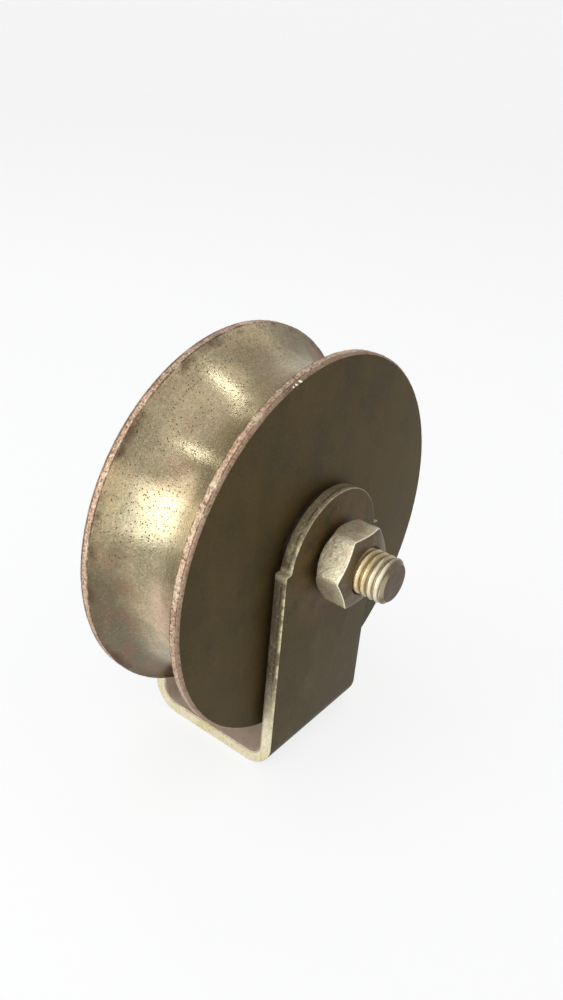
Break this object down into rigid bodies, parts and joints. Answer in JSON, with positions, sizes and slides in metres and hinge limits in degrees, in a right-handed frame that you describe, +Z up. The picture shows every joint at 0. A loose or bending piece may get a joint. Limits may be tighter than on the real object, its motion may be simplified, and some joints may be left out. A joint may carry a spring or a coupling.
{
  "type": "sliding gate wheel",
  "caption": "Steel gate wheel with a round track groove, turning on shielded ball bearings about a through bolt in a bracket folded from flat bar.",
  "frame": {"origin": "centre of the underside of the bracket's folded base", "axes": "+Z up from the base to the wheel, the axle along Y with its nut towards -Y, and the track runs along X"},
  "size_m": [0.127, 0.0847, 0.1385],
  "materials": {
    "wheel_zinc": "turned steel, yellow zinc plated, pitted in the groove",
    "bar_zinc": "rolled steel bar, yellow zinc plated, satin",
    "nut_zinc": "yellow zinc plated, satin",
    "bolt_zinc": "yellow zinc plated, satin",
    "ring_steel": "ground bearing steel",
    "ball_steel": "polished bearing steel",
    "cage_steel": "pressed steel sheet",
    "shield_steel": "pressed steel sheet"
  },
  "bodies": {
    "frame": {"bracket": "bar_zinc", "axle_bolt": "bolt_zinc", "axle_nut": "nut_zinc", "front_washer": "bar_zinc", "rear_washer": "bar_zinc", "spacer_tube": "bar_zinc", "front_inner_ring": "ring_steel", "rear_inner_ring": "ring_steel"},
    "wheel": {"wheel": "wheel_zinc", "front_outer_ring": "ring_steel", "rear_outer_ring": "ring_steel", "front_shield_outer": "shield_steel", "front_shield_inner": "shield_steel", "rear_shield_outer": "shield_steel", "rear_shield_inner": "shield_steel"},
    "front_ball_set": {"front_balls": "ball_steel", "front_cage_outer": "cage_steel", "front_cage_inner": "cage_steel", "front_cage_rivets": "cage_steel"},
    "rear_ball_set": {"rear_balls": "ball_steel", "rear_cage_outer": "cage_steel", "rear_cage_inner": "cage_steel", "rear_cage_rivets": "cage_steel"}
  },
  "joints": [
    {"name": "wheel_spin", "type": "hinge", "parent": "frame", "child": "wheel", "pos_m": [0, 0, 0.075], "axis": [0, 1, 0], "continuous": true},
    {"name": "front_ball_set_spin", "type": "hinge", "parent": "frame", "child": "front_ball_set", "pos_m": [0, 0, 0.075], "axis": [0, 1, 0], "continuous": true},
    {"name": "rear_ball_set_spin", "type": "hinge", "parent": "frame", "child": "rear_ball_set", "pos_m": [0, 0, 0.075], "axis": [0, 1, 0], "continuous": true}
  ],
  "couplings": [
    {"joint": "front_ball_set_spin", "follows": "wheel_spin", "ratio": 0.6208},
    {"joint": "rear_ball_set_spin", "follows": "wheel_spin", "ratio": 0.6208}
  ]
}
